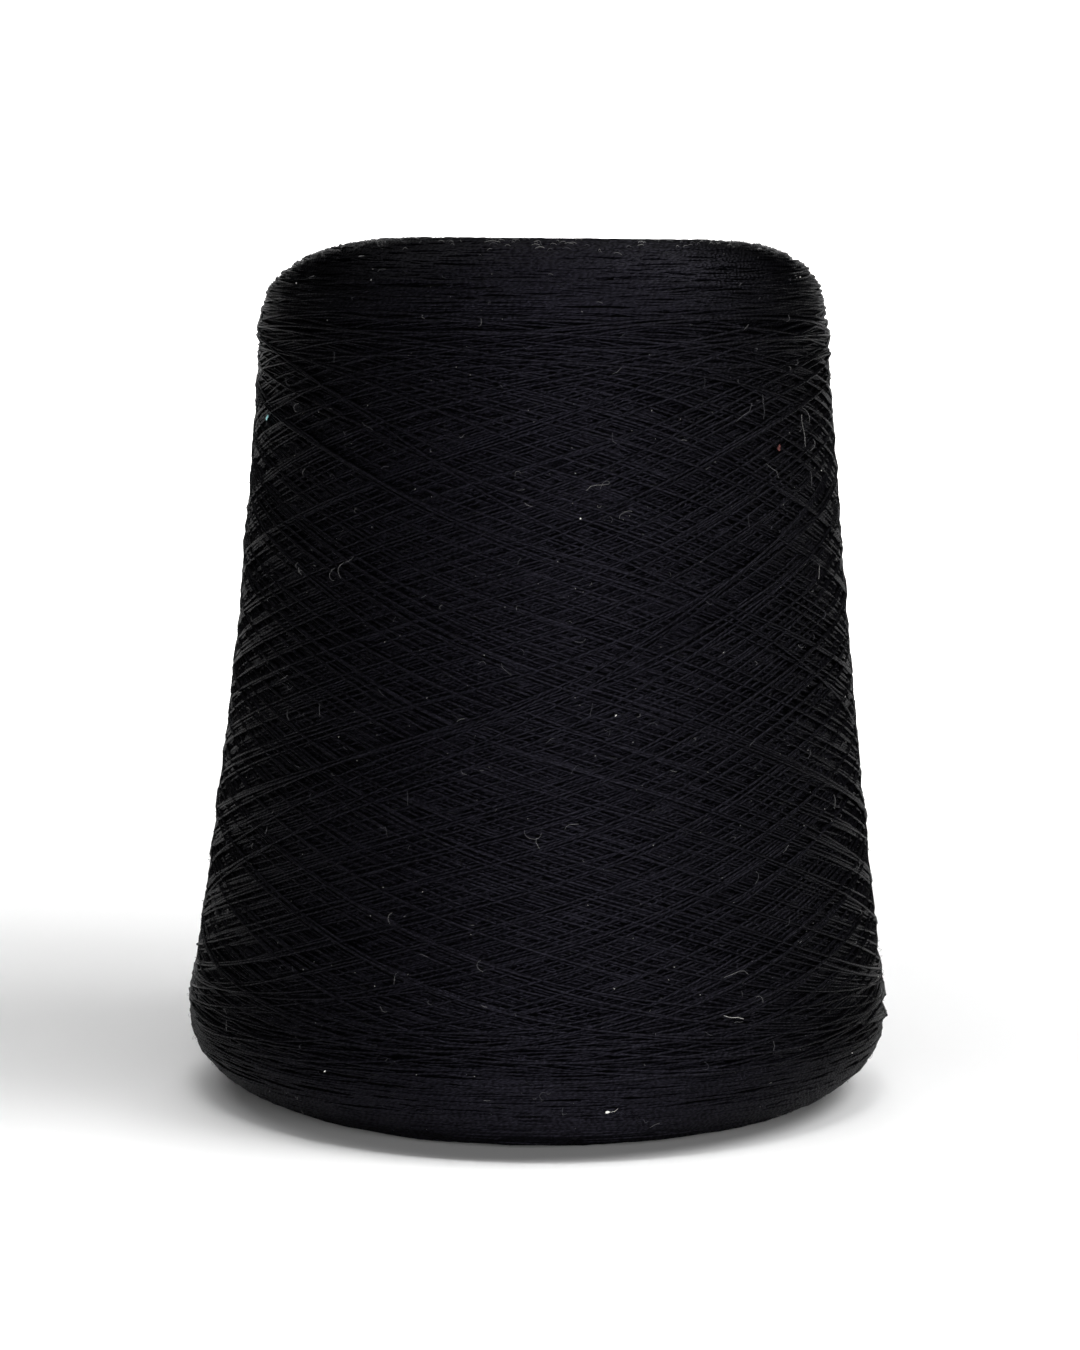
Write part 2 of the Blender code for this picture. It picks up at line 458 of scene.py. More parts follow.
def yarn_sweep_tree():
    """Sweeps a yarn along each chain of edges, its seam turned inwards."""
    tree = bpy.data.node_groups.new("Yarn sweep", "GeometryNodeTree")
    face = tree.interface
    face.new_socket("Geometry", in_out="INPUT", socket_type="NodeSocketGeometry")
    face.new_socket("Thickness", in_out="INPUT", socket_type="NodeSocketFloat")
    face.new_socket("Sides", in_out="INPUT", socket_type="NodeSocketInt")
    face.new_socket("Material", in_out="INPUT", socket_type="NodeSocketMaterial")
    face.new_socket("Geometry", in_out="OUTPUT", socket_type="NodeSocketGeometry")
    given = add_node(tree, "NodeGroupInput").outputs

    outward = add_node(tree, "GeometryNodeInputNamedAttribute", (), {"Name": "outward"},
                       data_type="FLOAT_VECTOR")
    path = add_node(tree, "GeometryNodeMeshToCurve", {"Mesh": given["Geometry"]})
    facing = add_node(tree, "GeometryNodeSetCurveNormal",
                      {"Curve": path.outputs[0], "Normal": outward.outputs[0]}, mode="FREE")
    along = add_node(tree, "GeometryNodeSplineParameter")
    measured = add_node(tree, "GeometryNodeStoreNamedAttribute",
                        {"Geometry": facing.outputs[0], "Value": along.outputs["Length"]},
                        {"Name": "along"}, data_type="FLOAT", domain="POINT")

    radius = add_node(tree, "ShaderNodeMath", {0: given["Thickness"]}, {1: 0.5}, operation="MULTIPLY")
    ring = add_node(tree, "GeometryNodeCurvePrimitiveCircle",
                    {"Resolution": given["Sides"], "Radius": radius.outputs[0]}, mode="RADIUS")
    around = add_node(tree, "GeometryNodeSplineParameter")
    profile = add_node(tree, "GeometryNodeStoreNamedAttribute",
                       {"Geometry": ring.outputs[0], "Value": around.outputs["Factor"]},
                       {"Name": "around"}, data_type="FLOAT", domain="POINT")

    swept = add_node(tree, "GeometryNodeCurveToMesh",
                     {"Curve": measured.outputs[0], "Profile Curve": profile.outputs[0]},
                     {"Fill Caps": True})
    smooth = add_node(tree, "GeometryNodeSetShadeSmooth", {"Geometry": swept.outputs[0]})
    real = add_node(tree, "GeometryNodeRealizeInstances", {"Geometry": smooth.outputs[0]})
    dressed = add_node(tree, "GeometryNodeSetMaterial",
                       {"Geometry": real.outputs[0], "Material": given["Material"]})
    add_node(tree, "NodeGroupOutput", {"Geometry": dressed.outputs[0]})
    return tree


def set_input(modifier, name, value):
    """Set a tree's input by its socket's identifier."""
    for item in modifier.node_group.interface.items_tree:
        if item.item_type == "SOCKET" and item.in_out == "INPUT" and item.name == name:
            modifier[item.identifier] = value
            return
    raise KeyError(name)


def set_attribute(mesh, name, kind, values):
    """Give each vertex of a mesh a number or a vector."""
    layer = mesh.attributes.new(name, kind, "POINT")
    layer.data.foreach_set("vector" if kind == "FLOAT_VECTOR" else "value",
                           np.asarray(values, np.float32).ravel())


def link_object(name, mesh):
    piece = bpy.data.objects.new(name, mesh)
    bpy.context.scene.collection.objects.link(piece)
    return piece


def solid_mesh(name, places, faces, material, smooth=False):
    mesh = bpy.data.meshes.new(name)
    mesh.from_pydata(places, [], faces)
    mesh.polygons.foreach_set("use_smooth", np.full(len(faces), smooth))
    mesh.materials.append(material)
    return mesh


def chain_mesh(name, strands):
    """A mesh of bare edges, one chain for each (points, outward, shade)."""
    places = np.concatenate([points for points, _, _ in strands])
    edges, first = [], 0
    for points, _, _ in strands:
        index = np.arange(first, first + len(points) - 1)
        edges.append(np.stack([index, index + 1], 1))
        first += len(points)
    edges = np.concatenate(edges)
    mesh = bpy.data.meshes.new(name)
    mesh.vertices.add(len(places))
    mesh.vertices.foreach_set("co", places.astype(np.float32).ravel())
    mesh.edges.add(len(edges))
    mesh.edges.foreach_set("vertices", edges.astype(np.int32).ravel())
    set_attribute(mesh, "outward", "FLOAT_VECTOR", np.concatenate([outward for _, outward, _ in strands]))
    shades = [np.full(len(points), tone) for points, _, tone in strands]
    set_attribute(mesh, "shade", "FLOAT", np.concatenate(shades))
    mesh.update()
    return mesh


def sweep(name, strands, thickness, sides, material):
    """Sweep the strands with the tree, and keep the result as a plain mesh."""
    tree = bpy.data.node_groups.get("Yarn sweep") or yarn_sweep_tree()
    path = chain_mesh(name + "_path", strands)
    piece = link_object(name, path)
    modifier = piece.modifiers.new("Sweep", "NODES")
    modifier.node_group = tree
    set_input(modifier, "Thickness", thickness)
    set_input(modifier, "Sides", sides)
    set_input(modifier, "Material", material)
    graph = bpy.context.evaluated_depsgraph_get()
    mesh = bpy.data.meshes.new_from_object(piece.evaluated_get(graph),
                                           preserve_all_data_layers=True, depsgraph=graph)
    mesh.name = name
    piece.modifiers.remove(modifier)
    piece.data = mesh
    bpy.data.meshes.remove(path)
    lay_yarn_map(mesh)
    return piece


def lay_yarn_map(mesh):
    """A UV map along (millimetres) and around each yarn, closed at its seam."""
    corners, tiny = len(mesh.loops), 1e-4
    vertex = np.empty(corners, np.int32)
    mesh.loops.foreach_get("vertex_index", vertex)
    along = np.empty(len(mesh.vertices), np.float32)
    around = np.empty(len(mesh.vertices), np.float32)
    mesh.attributes["along"].data.foreach_get("value", along)
    mesh.attributes["around"].data.foreach_get("value", around)
    starts = np.empty(len(mesh.polygons), np.int32)
    mesh.polygons.foreach_get("loop_start", starts)
    v = around[vertex]
    highest = np.repeat(np.maximum.reduceat(v, starts), np.diff(np.append(starts, corners)))
    v = np.where((v < tiny) & (highest > 0.5 + tiny), 1.0, v)
    layer = mesh.uv_layers.new(name="YarnMap")
    layer.data.foreach_set("uv", np.stack([along[vertex] / MM, v], 1).astype(np.float32).ravel())


def finish_piece(piece, replaces=False):
    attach(piece, BODY)
    if replaces:
        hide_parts(NODE)


# --------------------------------------------------------------------------
# Materials
# --------------------------------------------------------------------------

def new_material(name, roughness):
    material = bpy.data.materials.new(name)
    material.use_nodes = True
    shader = material.node_tree.nodes["Principled BSDF"]
    shader.inputs["Roughness"].default_value = roughness
    return material, material.node_tree, shader


def colour_by_shade(tree, shader, low, high):
    """Give each yarn or fibre its own colour between two; returns its shade."""
    shade = add_node(tree, "ShaderNodeAttribute", attribute_name="shade").outputs["Fac"]
    mix = add_node(tree, "ShaderNodeMix", {0: shade}, {COLOUR_A: (*low, 1.0), COLOUR_B: (*high, 1.0)},
                   data_type="RGBA")
    tree.links.new(mix.outputs[COLOUR_RESULT], shader.inputs["Base Color"])
    return shade


def ply_ridges(tree, along, around):
    """A wave that is 1 where one of the two plies rises; along is in mm.  The
    twist tightens and loosens, so the ridges are 1.0 to 1.6 mm apart."""
    spacing, looseness = 1.3, 1.6
    slow = add_node(tree, "ShaderNodeTexNoise", {"W": along}, {"Scale": 0.35, "Detail": 2.0},
                    noise_dimensions="1D")
    even = add_node(tree, "ShaderNodeMath", {0: along}, {1: 1.0 / spacing}, operation="MULTIPLY")
    twist = add_node(tree, "ShaderNodeMath", {0: slow.outputs["Fac"], 2: even.outputs[0]},
                     {1: looseness}, operation="MULTIPLY_ADD")
    lean = add_node(tree, "ShaderNodeMath", {0: twist.outputs[0], 1: around}, operation="ADD")
    turn = add_node(tree, "ShaderNodeMath", {0: lean.outputs[0]}, {1: 2.0 * math.pi}, operation="MULTIPLY")
    return add_node(tree, "ShaderNodeMath", {0: turn.outputs[0]}, operation="SINE").outputs[0]


def plied_yarn(dark, pale):
    """Black worsted-spun yarn of two plies: dull, with a faint violet-grey
    sheen from its fibre ends, and short slanting glints where a ply rises."""
    material, tree, shader = new_material("black_plied_yarn", 0.46)
    shade = colour_by_shade(tree, shader, dark, pale)
    # The yarn's map is in millimetres, so a Scale is the waves in a millimetre.
    # Each strand starts at its own point of the pattern.
    yarn_map, pattern_length = "YarnMap", 370.0
    uv = add_node(tree, "ShaderNodeUVMap", uv_map=yarn_map)
    start = add_node(tree, "ShaderNodeMath", {0: shade}, {1: pattern_length}, operation="MULTIPLY")
    start = add_node(tree, "ShaderNodeCombineXYZ", {"X": start.outputs[0]})
    place = add_node(tree, "ShaderNodeVectorMath", {0: uv.outputs[0], 1: start.outputs[0]},
                     operation="ADD").outputs[0]
    parts = add_node(tree, "ShaderNodeSeparateXYZ", {0: place}).outputs
    ridge = ply_ridges(tree, parts["X"], parts["Y"])

    # Fibres over ten times coarser than real ones, which would be too fine to show.
    fibre_share, fibre_scale = 2.2, 2.2
    stretched = add_node(tree, "ShaderNodeMapping", {"Vector": place}, {"Scale": (1.0, 2.5, 1.0)})
    fibres = add_node(tree, "ShaderNodeTexNoise", {"Vector": stretched.outputs[0]},
                      {"Scale": fibre_scale, "Detail": 3.0, "Roughness": 0.65})
    relief = add_node(tree, "ShaderNodeMath", {0: fibres.outputs["Fac"], 2: ridge}, {1: fibre_share},
                      operation="MULTIPLY_ADD")
    bump = add_node(tree, "ShaderNodeBump", {"Height": relief.outputs[0]},
                    {"Strength": 1.0, "Distance": 0.03 * MM})
    tree.links.new(bump.outputs[0], shader.inputs["Normal"])

    # Dull and bright stretches along each strand, brightest where a ply rises.
    ridge_share, dullest, brightest = 0.16, 0.055, 0.26
    worn = add_node(tree, "ShaderNodeTexNoise", {"Vector": place},
                    {"Scale": 0.5, "Detail": 3.0, "Roughness": 0.7})
    lit = add_node(tree, "ShaderNodeMath", {0: ridge, 2: worn.outputs["Fac"]}, {1: ridge_share},
                   operation="MULTIPLY_ADD")
    gloss = add_node(tree, "ShaderNodeMapRange", {"Value": lit.outputs[0]},
                     {"From Min": 0.25, "From Max": 0.75, "To Min": dullest, "To Max": brightest})
    # Loose fibres hide the glare that a smooth surface has when seen edge-on.
    edge_on = add_node(tree, "ShaderNodeLayerWeight", (), {"Blend": 0.42})
    frontal = add_node(tree, "ShaderNodeMath", {1: edge_on.outputs["Facing"]}, {0: 1.0},
                       operation="SUBTRACT")
    gloss = add_node(tree, "ShaderNodeMath", {0: gloss.outputs[0], 1: frontal.outputs[0]},
                     operation="MULTIPLY")
    tree.links.new(gloss.outputs[0], shader.inputs["Specular IOR Level"])
    shader.inputs["Specular Tint"].default_value = (*linear("#e1dbff"), 1.0)

    # The fibres lie along the yarn, so a highlight is broad across it and narrow along it.
    tangent = add_node(tree, "ShaderNodeTangent", direction_type="UV_MAP", uv_map=yarn_map)
    tree.links.new(tangent.outputs[0], shader.inputs["Tangent"])
    shader.inputs["Anisotropic"].default_value = 0.6
    shader.inputs["Anisotropic Rotation"].default_value = 0.25
    shader.inputs["Sheen Weight"].default_value = 0.003
    shader.inputs["Sheen Roughness"].default_value = 0.35
    shader.inputs["Sheen Tint"].default_value = (*linear("#b8b8cc"), 1.0)
    return material


def packed_yarn(dark):
    """The inner turns of the same yarn, pressed flat: seen only as darkness
    between the outer ones."""
    material, tree, shader = new_material("black_packed_yarn", 0.9)
    spacing = 0.8 * MM
    repeat = 0.314      # metres from wave to wave at scale 1: 2 pi / 20
    place = add_node(tree, "ShaderNodeTexCoord")
    turns = add_node(tree, "ShaderNodeTexWave", {"Vector": place.outputs["Object"]},
                     {"Scale": repeat / spacing, "Distortion": 1.5, "Detail": 2.0, "Detail Scale": 1.0},
                     bands_direction="Z").outputs["Fac"]
    bump = add_node(tree, "ShaderNodeBump", {"Height": turns}, {"Strength": 0.8, "Distance": 0.2 * MM})
    tree.links.new(bump.outputs[0], shader.inputs["Normal"])
    # Painted shade: the colour darkens with the bump into the grooves between the turns.
    groove_shade = add_node(tree, "ShaderNodeMapRange", {"Value": turns}, {"To Min": 0.4, "To Max": 1.0})
    groove_shaded_colour = add_node(tree, "ShaderNodeVectorMath", {"Scale": groove_shade.outputs[0]}, {0: dark},
                      operation="SCALE")
    tree.links.new(groove_shaded_colour.outputs[0], shader.inputs["Base Color"])
    shader.inputs["Specular IOR Level"].default_value = 0.2
    return material


def lint_material(name, dull, pale):
    """Cotton lint: matt thin fibres, grey to white by each one's shade."""
    material, tree, shader = new_material(name, 0.7)
    colour_by_shade(tree, shader, dull, pale)
    return material


def plain_material(name, tone, roughness):
    """Loose fibre of one colour, too small to show more than that colour."""
    material, _, shader = new_material(name, roughness)
    shader.inputs["Base Color"].default_value = (*tone, 1.0)
    return material


# --------------------------------------------------------------------------
# Pieces
# --------------------------------------------------------------------------

LARGEST_PIECE = 195_000      # triangles
WEAVES_A_TURN = 14.0         # times that a shoulder's turn rises and sinks in one round
HIGHEST = 0.8                # yarn thicknesses that a turn's middle may stand over the form
TOP_SCATTER = (-1.0, 0.6)    # a turn of the top face lies low more often than high


def seen_runs(pile, first_column, reach, lift):
    """Stretches of a laid strand that aren't buried by later ones."""
    rows, columns = pile.cells(first_column, reach)
    beside = np.minimum(pile.height[rows - 1, columns], pile.height[rows + 1, columns])
    over = np.minimum(beside, pile.height[rows, columns])
    seen = over - lift < (1.0 + pile.yarn.seen_depth) * pile.yarn.pressed
    margin = pile.COLUMNS // 40     # columns that a stretch goes on under the others
    seen = np.convolve(seen, np.ones(2 * margin + 1), mode="same") > 0.5
    edges = np.flatnonzero(np.diff(np.concatenate([[False], seen, [False]])))
    return [(a, b) for a, b in edges.reshape(-1, 2) if b - a > 2 * margin]


def strand_points(pile, crest, first_column, reach, lift, relief, ceiling, phase):
    """Centre line of one laid strand, thinned to the swept yarn's steps."""
    yarn = pile.yarn
    step = pile.COLUMNS // yarn.steps_a_turn
    keep = np.unique(np.append(np.arange(0, len(reach), step), len(reach) - 1))
    columns = first_column + keep
    reach, lift = reach[keep], lift[keep]
    rows = np.clip((reach / pile.ROW).astype(int), 0, pile.rows - 1)
    depth = crest[rows, columns % pile.COLUMNS] - lift - 0.5 * yarn.pressed
    depth = relief * np.where(depth > 0.0, yarn.deepest * (1.0 - np.exp(-depth / yarn.deepest)), depth)
    if relief < 1.0:
        weave = yarn.low_weave if reach[0] < 0.5 * pile.skin.length else yarn.weave
        wave = np.sin(2.0 * np.pi * (WEAVES_A_TURN * keep / pile.COLUMNS + phase))
        depth = depth + weave * (0.5 + 0.5 * wave)
    depth = np.maximum(depth, -HIGHEST * yarn.thickness)
    points, outward = pile.skin.point(reach, 2.0 * np.pi * columns / pile.COLUMNS, depth)
    points[:, 2] = np.clip(points[:, 2], 0.5 * yarn.thickness, ceiling)
    return points, outward


def make_winding(pile, material):
    """The swept yarn, cut into pieces of under 200,000 triangles."""
    yarn = pile.yarn
    crest = pile.crest()
    rng = np.random.default_rng(yarn.seed + 1)
    flush = pile.skin.form.height - 0.5 * yarn.thickness
    pieces, used = [[]], 0
    for first_column, reach, lift, relief in pile.strands:
        tone = float(rng.uniform())
        ceiling = flush + yarn.uneven_top * rng.uniform(*TOP_SCATTER)
        phase = 7.0 * tone      # so that neighbours rise and sink in different places
        for a, b in seen_runs(pile, first_column, reach, lift):
            points, outward = strand_points(pile, crest, first_column + a, reach[a:b], lift[a:b],
                                            relief, ceiling, phase)
            triangles = 2 * yarn.sides * len(points)
            if used + triangles > LARGEST_PIECE:
                pieces.append([])
                used = 0
            pieces[-1].append((points, outward, tone))
            used += triangles
    return [sweep(f"wound_yarn_{number}", strands, yarn.thickness, yarn.sides, material)
            for number, strands in enumerate(pieces, 1)]


def make_packed_body(pile, material):
    """A closed body of the inner turns, just under the lowest swept ones."""
    skin, form = pile.skin, pile.skin.form
    columns, outer_rows, bore_rows = 64, 120, 24
    gap, bore_gap = 0.15 * MM, 0.3 * MM
    azimuth = 2.0 * np.pi * np.arange(columns) / columns
    depth = np.full(columns, pile.yarn.deepest + gap)
    rings = [skin.point(np.full(columns, reach), azimuth, depth)[0]
             for reach in np.linspace(0.0, skin.length, outer_rows)]
    for height in np.linspace(form.height, 0.0, bore_rows)[1:-1]:
        rings.append(round_axis(bore_radius_at(form, height) + bore_gap, azimuth, height))
    faces = []
    for ring in range(len(rings)):
        above = (ring + 1) % len(rings)
        for i in range(columns):
            j = (i + 1) % columns
            corners = (ring, i), (ring, j), (above, j), (above, i)
            faces.append([columns * row + column for row, column in corners])
    places = np.concatenate(rings).tolist()
    return link_object("packed_yarn", solid_mesh("packed_yarn", places, faces, material, smooth=True))


def make_bore_strands(pile, material):
    """Crossing turns on the wall of the hole, where the winding tube lay."""
    yarn, form = pile.yarn, pile.skin.form
    rng = np.random.default_rng(yarn.seed + 2)
    steps, sides, depth, uneven = 84, 3, 0.35 * MM, 0.15 * MM
    rounds = (2.6, 3.0)     # least and most that a strand goes round the hole
    t = np.linspace(0.0, 1.0, steps)
    height = yarn.thickness + (form.height - 2.0 * yarn.thickness) * t
    strands = []
    for strand in range(yarn.bore_strands):
        way = 1.0 if strand % 2 else -1.0
        azimuth = 2.0 * np.pi * (strand * GOLDEN + way * rng.uniform(*rounds) * t)
        radius = bore_radius_at(form, height) + depth + uneven * rng.uniform(-1.0, 1.0)
        inward = round_axis(-1.0, azimuth, 0.0)
        strands.append((round_axis(radius, azimuth, height), inward, float(rng.uniform())))
    return sweep("bore_yarn", strands, yarn.thickness, sides, material)


# Lint that shows on the side facing the camera: azimuth in degrees (-90 is
# the front, 0 the right), height and length in mm, lean and bend in degrees,
# brightness 0 to 1.  A lean of 0 runs level to the right; the bend is how far
# the fibre turns to the left from one end to the other.
PLACED_FIBRES = (
    (-58, 26, 4.6, -18, -22, 1.0), (-57, 34, 6.0, -8, -75, 0.45), (-78, 10.5, 1.5, 25, -50, 1.0),
    (-131, 107, 3.2, -80, 150, 0.40), (-129, 108, 3.4, 75, -70, 0.45), (-127, 110, 2.4, 40, 60, 0.30),
    (-140, 107, 1.6, -50, 20, 0.45), (-140, 107, 1.3, 10, -30, 0.45), (-141, 108, 1.2, 80, 10, 0.40),
    (-31, 134, 6.5, -75, 70, 0.50), (-29, 137, 4.0, -60, -95, 0.45), (-27, 131, 3.0, 60, 110, 0.40),
    (-49, 138, 5.6, 42, 25, 0.30), (-44, 139, 4.6, -86, 30, 0.25), (-42, 127, 4.6, -44, -30, 0.40),
    (-28, 107, 3.6, 55, -140, 0.60), (-80, 125, 4.6, 10, -50, 0.50), (-75, 120, 3.2, 20, -130, 0.45),
    # The level fibre at -104 degrees and 169 mm, on the top edge, is partly a painted highlight of that
    # edge.
    (-99, 37, 3.0, -70, 120, 0.35), (-91, 61, 4.6, 0, 200, 0.30), (-104, 169, 3.2, 2, 5, 0.60),
    (-91, 168, 1.8, 20, 60, 0.65), (-151, 167, 1.6, 4, 20, 0.60), (-161, 81, 2.6, 28, 20, 0.40),
)

# Specks: azimuth, height, size in mm and brightness.
PLACED_SPECKS = (
    (-83, 119, 0.60, 1.0), (-77, 83, 0.55, 0.9), (-124, 15, 0.60, 1.0), (-79, 10.2, 1.0, 1.0),
    (-151, 161, 0.55, 0.6), (-127, 162, 0.50, 0.5), (-24, 163, 0.55, 0.8), (-71, 59, 0.45, 0.6),
    (-78, 33, 0.45, 0.7), (-23, 126, 0.50, 0.7), (-30, 14, 0.60, 0.7), (-13, 25, 0.70, 0.8),
)

# Coloured bits: azimuth, height and size in mm.
TURQUOISE_PLACE, RED_PLACE = (-158, 135, 1.05), (-40, 131, 1.3)

FAINTNESS = 1.3     # exponent that makes most of the strewn lint faint


def fibre_path(pile, rng, azimuth, height, size, lean, bend, lift=0.25 * MM, rise=0.35 * MM):
    """A bent fibre that lies on the winding, its middle a little clear of it.
    Its lean and bend are in radians here."""
    turn_a_step, kink = 0.35, 0.25      # radians
    steps = max(4, int(abs(bend) / turn_a_step) + 3)
    t = np.linspace(0.0, 1.0, steps)
    heading = lean + bend * (t - 0.5) + kink * np.sin(2.0 * np.pi * (t + rng.uniform()))
    stride = size / (steps - 1)
    across = np.concatenate([[0.0], np.cumsum(np.cos(heading[:-1]) * stride)])
    up = np.concatenate([[0.0], np.cumsum(np.sin(heading[:-1]) * stride)])
    across, up = across - across.mean(), up - up.mean()
    skin = pile.skin
    reach = skin.reach_outside(azimuth, height)
    radius = float(outline(skin.form, np.interp(reach, skin.reaches, skin.stations), azimuth)[0])
    depth = -(lift + rise * np.sin(np.pi * t))
    return skin.point(np.clip(reach + up, 0.0, skin.length), azimuth + across / radius, depth)


def anywhere(rng, form):
    """A random azimuth and height on the outside."""
    lowest = 2.0 * MM
    return rng.uniform(-math.pi, math.pi), rng.uniform(lowest, form.height)


def lint_paths(pile, rng, lint):
    """Pale fibres: those of the photo, scattered ones, and those along the top
    edge, which are partly lint and partly a painted highlight of the edge's bright fringe.
    """
    form = pile.skin.form
    placed_white, strewn_white, rim_highlight_white = 0.7, 0.15, 0.30     # shade of the whitest of each
    fibres = []
    for azimuth, height, size, lean, bend, tone in PLACED_FIBRES:
        azimuth, lean, bend = (math.radians(value) for value in (azimuth, lean, bend))
        path = fibre_path(pile, rng, azimuth, height * MM, size * MM, lean, bend)
        fibres.append((*path, placed_white * tone * tone))
    for _ in range(lint.fibres):
        azimuth, height = anywhere(rng, form)
        size, bend = (0.5 + 2.5 * rng.uniform() ** 2) * MM, rng.normal(0.0, 1.5)
        lean = rng.uniform(-math.pi, math.pi)
        path = fibre_path(pile, rng, azimuth, height, size, lean, bend, lift=0.1 * MM, rise=0.25 * MM)
        fibres.append((*path, strewn_white * rng.uniform() ** FAINTNESS))
    # Along the top edge: partly lint, partly a painted highlight of its bright fringe.
    for _ in range(lint.rim_fibres_and_highlight):
        azimuth, height = rng.uniform(-math.pi, math.pi), form.height - abs(rng.normal(0.0, 1.0 * MM))
        size, bend = rng.uniform(0.4, 1.8) * MM, rng.normal(0.0, 0.8)
        lean = rng.normal(0.0, 0.3)
        path = fibre_path(pile, rng, azimuth, height, size, lean, bend, lift=0.05 * MM, rise=0.3 * MM)
        fibres.append((*path, rim_highlight_white * rng.uniform()))
    return fibres


def fuzz_paths(pile, rng, lint):
    """Black fibre ends, most of them near level."""
    fuzz = []
    for _ in range(lint.fuzz):
        azimuth, height = anywhere(rng, pile.skin.form)
        size = rng.uniform(0.6, 2.2) * MM
        lean, bend = rng.normal(0.0, 0.6), rng.normal(0.0, 0.8)
        rise = rng.uniform(0.2, 0.8) * MM
        path = fibre_path(pile, rng, azimuth, height, size, lean, bend, lift=0.0, rise=rise)
        fuzz.append((*path, float(rng.uniform())))
    return fuzz


def make_lint(pile, lint):
    """Placed and scattered fibres, specks, two coloured bits and black fuzz."""
    rng = np.random.default_rng(lint.seed)
    sides = 3
    fibres = lint_paths(pile, rng, lint)
    fuzz = fuzz_paths(pile, rng, lint)
    dull_white = lint_material("pale_cotton_lint", lint.dull, lint.pale)
    black = plain_material("black_fibre_ends", linear("#08080a"), 0.8)
    turquoise = plain_material("turquoise_fibre_bit", linear("#a8e6e8"), 0.6)
    red = plain_material("dull_red_fibre_bit", linear("#4a1c18"), 0.8)
    return [
        sweep("lint_fibres", fibres, lint.thickness, sides, dull_white),
        sweep("black_fuzz", fuzz, lint.fuzz_thickness, sides, black),
        make_specks(pile, rng, lint, dull_white),
        make_bit(pile, rng, "turquoise_bit", TURQUOISE_PLACE, turquoise),
        make_bit(pile, rng, "red_bit", RED_PLACE, red),
    ]


# A speck is a crumpled icosahedron.
CORNERS = 12
LONG = 0.5 * (1.0 + math.sqrt(5.0))
SPECK_POINTS = np.array([
    (-1, LONG, 0), (1, LONG, 0), (-1, -LONG, 0), (1, -LONG, 0), (0, -1, LONG), (0, 1, LONG),
    (0, -1, -LONG), (0, 1, -LONG), (LONG, 0, -1), (LONG, 0, 1), (-LONG, 0, -1), (-LONG, 0, 1),
]) / math.hypot(1.0, LONG)
SPECK_FACES = np.array([
    (0, 11, 5), (0, 5, 1), (0, 1, 7), (0, 7, 10), (0, 10, 11), (1, 5, 9), (5, 11, 4), (11, 10, 2),
    (10, 7, 6), (7, 1, 8), (3, 9, 4), (3, 4, 2), (3, 2, 6), (3, 6, 8), (3, 8, 9), (4, 9, 5),
    (2, 4, 11), (6, 2, 10), (8, 6, 7), (9, 8, 1),
])


def speck(pile, rng, azimuth, height, size):
    """A crumpled flat bit lying on the winding."""
    reach = pile.skin.reach_outside(azimuth, height)
    lift = 0.1 * MM + 0.2 * size
    place, outward = pile.skin.point(reach, azimuth, -lift)
    level = np.array([-math.sin(azimuth), math.cos(azimuth), 0.0])
    up = np.cross(outward, level)
    lean = rng.uniform(0.0, math.pi)
    long_way = math.cos(lean) * level + math.sin(lean) * up
    short_way = math.cos(lean) * up - math.sin(lean) * level
    crumple = 0.5 * size * rng.uniform(0.6, 1.2, (CORNERS, 1))
    flattened = (1.0, 0.6, 0.4)     # length, width and thickness
    shape = SPECK_POINTS * crumple * flattened
    return place + shape[:, :1] * long_way + shape[:, 1:2] * short_way + shape[:, 2:] * outward


def link_specks(name, bits, tones, material):
    """One piece of many crumbs, each with its own shade."""
    faces = np.concatenate([SPECK_FACES + CORNERS * i for i in range(len(bits))])
    mesh = solid_mesh(name, np.concatenate(bits).tolist(), faces.tolist(), material)
    set_attribute(mesh, "shade", "FLOAT", np.repeat(np.array(tones), CORNERS))
    return link_object(name, mesh)


def make_specks(pile, rng, lint, material):
    """Pale crumbs: those of the photo, and scattered ones."""
    placed_white, strewn_white = 0.8, 0.5     # shade of the whitest of each
    bits, tones = [], []
    for azimuth, height, size, tone in PLACED_SPECKS:
        bits.append(speck(pile, rng, math.radians(azimuth), height * MM, size * MM))
        tones.append(placed_white * tone * tone)
    for _ in range(lint.specks):
        azimuth, height = anywhere(rng, pile.skin.form)
        bits.append(speck(pile, rng, azimuth, height, rng.uniform(0.15, 0.30) * MM))
        tones.append(strewn_white * rng.uniform() ** FAINTNESS)
    return link_specks("lint_specks", bits, tones, material)


def make_bit(pile, rng, name, place, material):
    """A coloured bit of two crumbs, the second a little up, right and smaller."""
    azimuth, height, size = place
    right, up, shrink = 0.35, 0.45, 0.25      # degrees, mm and share of the size
    bits = []
    for i in range(2):
        at = math.radians(azimuth + right * i), (height + up * i) * MM
        bits.append(speck(pile, rng, *at, size * (1.0 - shrink * i) * MM))
    return link_specks(name, bits, [0.5] * 2, material)


# --------------------------------------------------------------------------
# Operators
# --------------------------------------------------------------------------

class YARNCONE_OT_wind(bpy.types.Operator):
    """Wind the yarn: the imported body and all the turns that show"""

    bl_idname = "yarncone.wind"
    bl_label = "Wind the yarn"

    def execute(self, context):
        scene = context.scene
        yarn = scene.yarncone_yarn
        pile = wind(scene.yarncone_form, yarn)
        finish_piece(make_packed_body(pile, packed_yarn(yarn.dark)), replaces=True)
        black = plied_yarn(yarn.dark, yarn.pale)
        for piece in (*make_winding(pile, black), make_bore_strands(pile, black)):
            finish_piece(piece)
        return {"FINISHED"}


class YARNCONE_OT_lint(bpy.types.Operator):
    """Strew the lint and the fibre ends over the winding"""

    bl_idname = "yarncone.lint"
    bl_label = "Add the lint"

    def execute(self, context):
        scene = context.scene
        pile = Pile(Skin(scene.yarncone_form), scene.yarncone_yarn)
        for piece in make_lint(pile, scene.yarncone_lint):
            finish_piece(piece)
        return {"FINISHED"}


